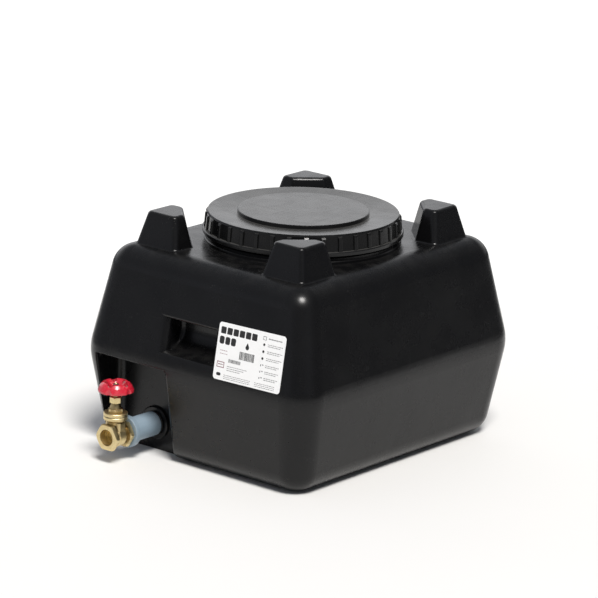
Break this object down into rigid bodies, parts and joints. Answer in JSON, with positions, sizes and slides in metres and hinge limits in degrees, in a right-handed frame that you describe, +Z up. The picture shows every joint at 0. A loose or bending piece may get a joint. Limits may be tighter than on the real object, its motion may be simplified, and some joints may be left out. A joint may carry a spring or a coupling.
{
  "type": "water tank",
  "caption": "Black moulded fresh water tank with a ribbed screw lid, stacking lugs, hand pockets and a brass gate valve on its outlet.",
  "frame": {"origin": "centre of the tank's resting face, on the lid's axis", "axes": "+Z up along the lid's axis; -Y out of the face with the label and the outlet; +X to the right of that face"},
  "size_m": [0.532, 0.687, 0.4322],
  "materials": {
    "black_polyethylene": "glossy rotomoulded",
    "lid_polyethylene": "satin injection moulded",
    "black_rubber": "matt",
    "sealing_fibre": "matt",
    "brass": "cast and machined",
    "red_paint": "gloss enamel",
    "steel": "zinc plated",
    "grey_pvc": "satin extruded",
    "dark_grey_pvc": "satin moulded",
    "label_film": "printed film"
  },
  "bodies": {
    "tank": {"tank_body": "black_polyethylene", "product_label": "label_film", "drain_insert": "brass", "socket_washer": "black_rubber", "pipe_socket": "grey_pvc", "nipple": "dark_grey_pvc", "valve_body": "brass", "bonnet_gasket": "sealing_fibre", "valve_bonnet": "brass", "stem_retainer": "brass", "stem_packing": "sealing_fibre", "gland_follower": "brass", "gland_nut": "brass"},
    "lid_seal": {"lid_gasket": "black_rubber"},
    "lid": {"lid": "lid_polyethylene"},
    "handwheel": {"valve_stem": "brass", "handwheel": "red_paint", "handwheel_washer": "steel", "handwheel_nut": "steel"},
    "gate": {"valve_wedge": "brass"}
  },
  "joints": [
    {"name": "lid_rise", "type": "slide", "parent": "tank", "child": "lid_seal", "axis": [0, 0, 1], "range_m": [0, 0.0181]},
    {"name": "lid_turn", "type": "hinge", "parent": "lid_seal", "child": "lid", "pos_m": [0, 0, 0.42], "axis": [0, 0, 1], "range_deg": [0, 540]},
    {"name": "wheel_turn", "type": "hinge", "parent": "tank", "child": "handwheel", "pos_m": [-0.133, -0.348, 0.13], "axis": [0, 0, 1], "range_deg": [0, 3000]},
    {"name": "gate_lift", "type": "slide", "parent": "tank", "child": "gate", "axis": [0, 0, 1], "range_m": [0, 0.02505]}
  ],
  "couplings": [
    {"joint": "lid_rise", "follows": "lid_turn", "m_per_rad": 0.0019099},
    {"joint": "gate_lift", "follows": "wheel_turn", "m_per_rad": 0.00047746}
  ]
}
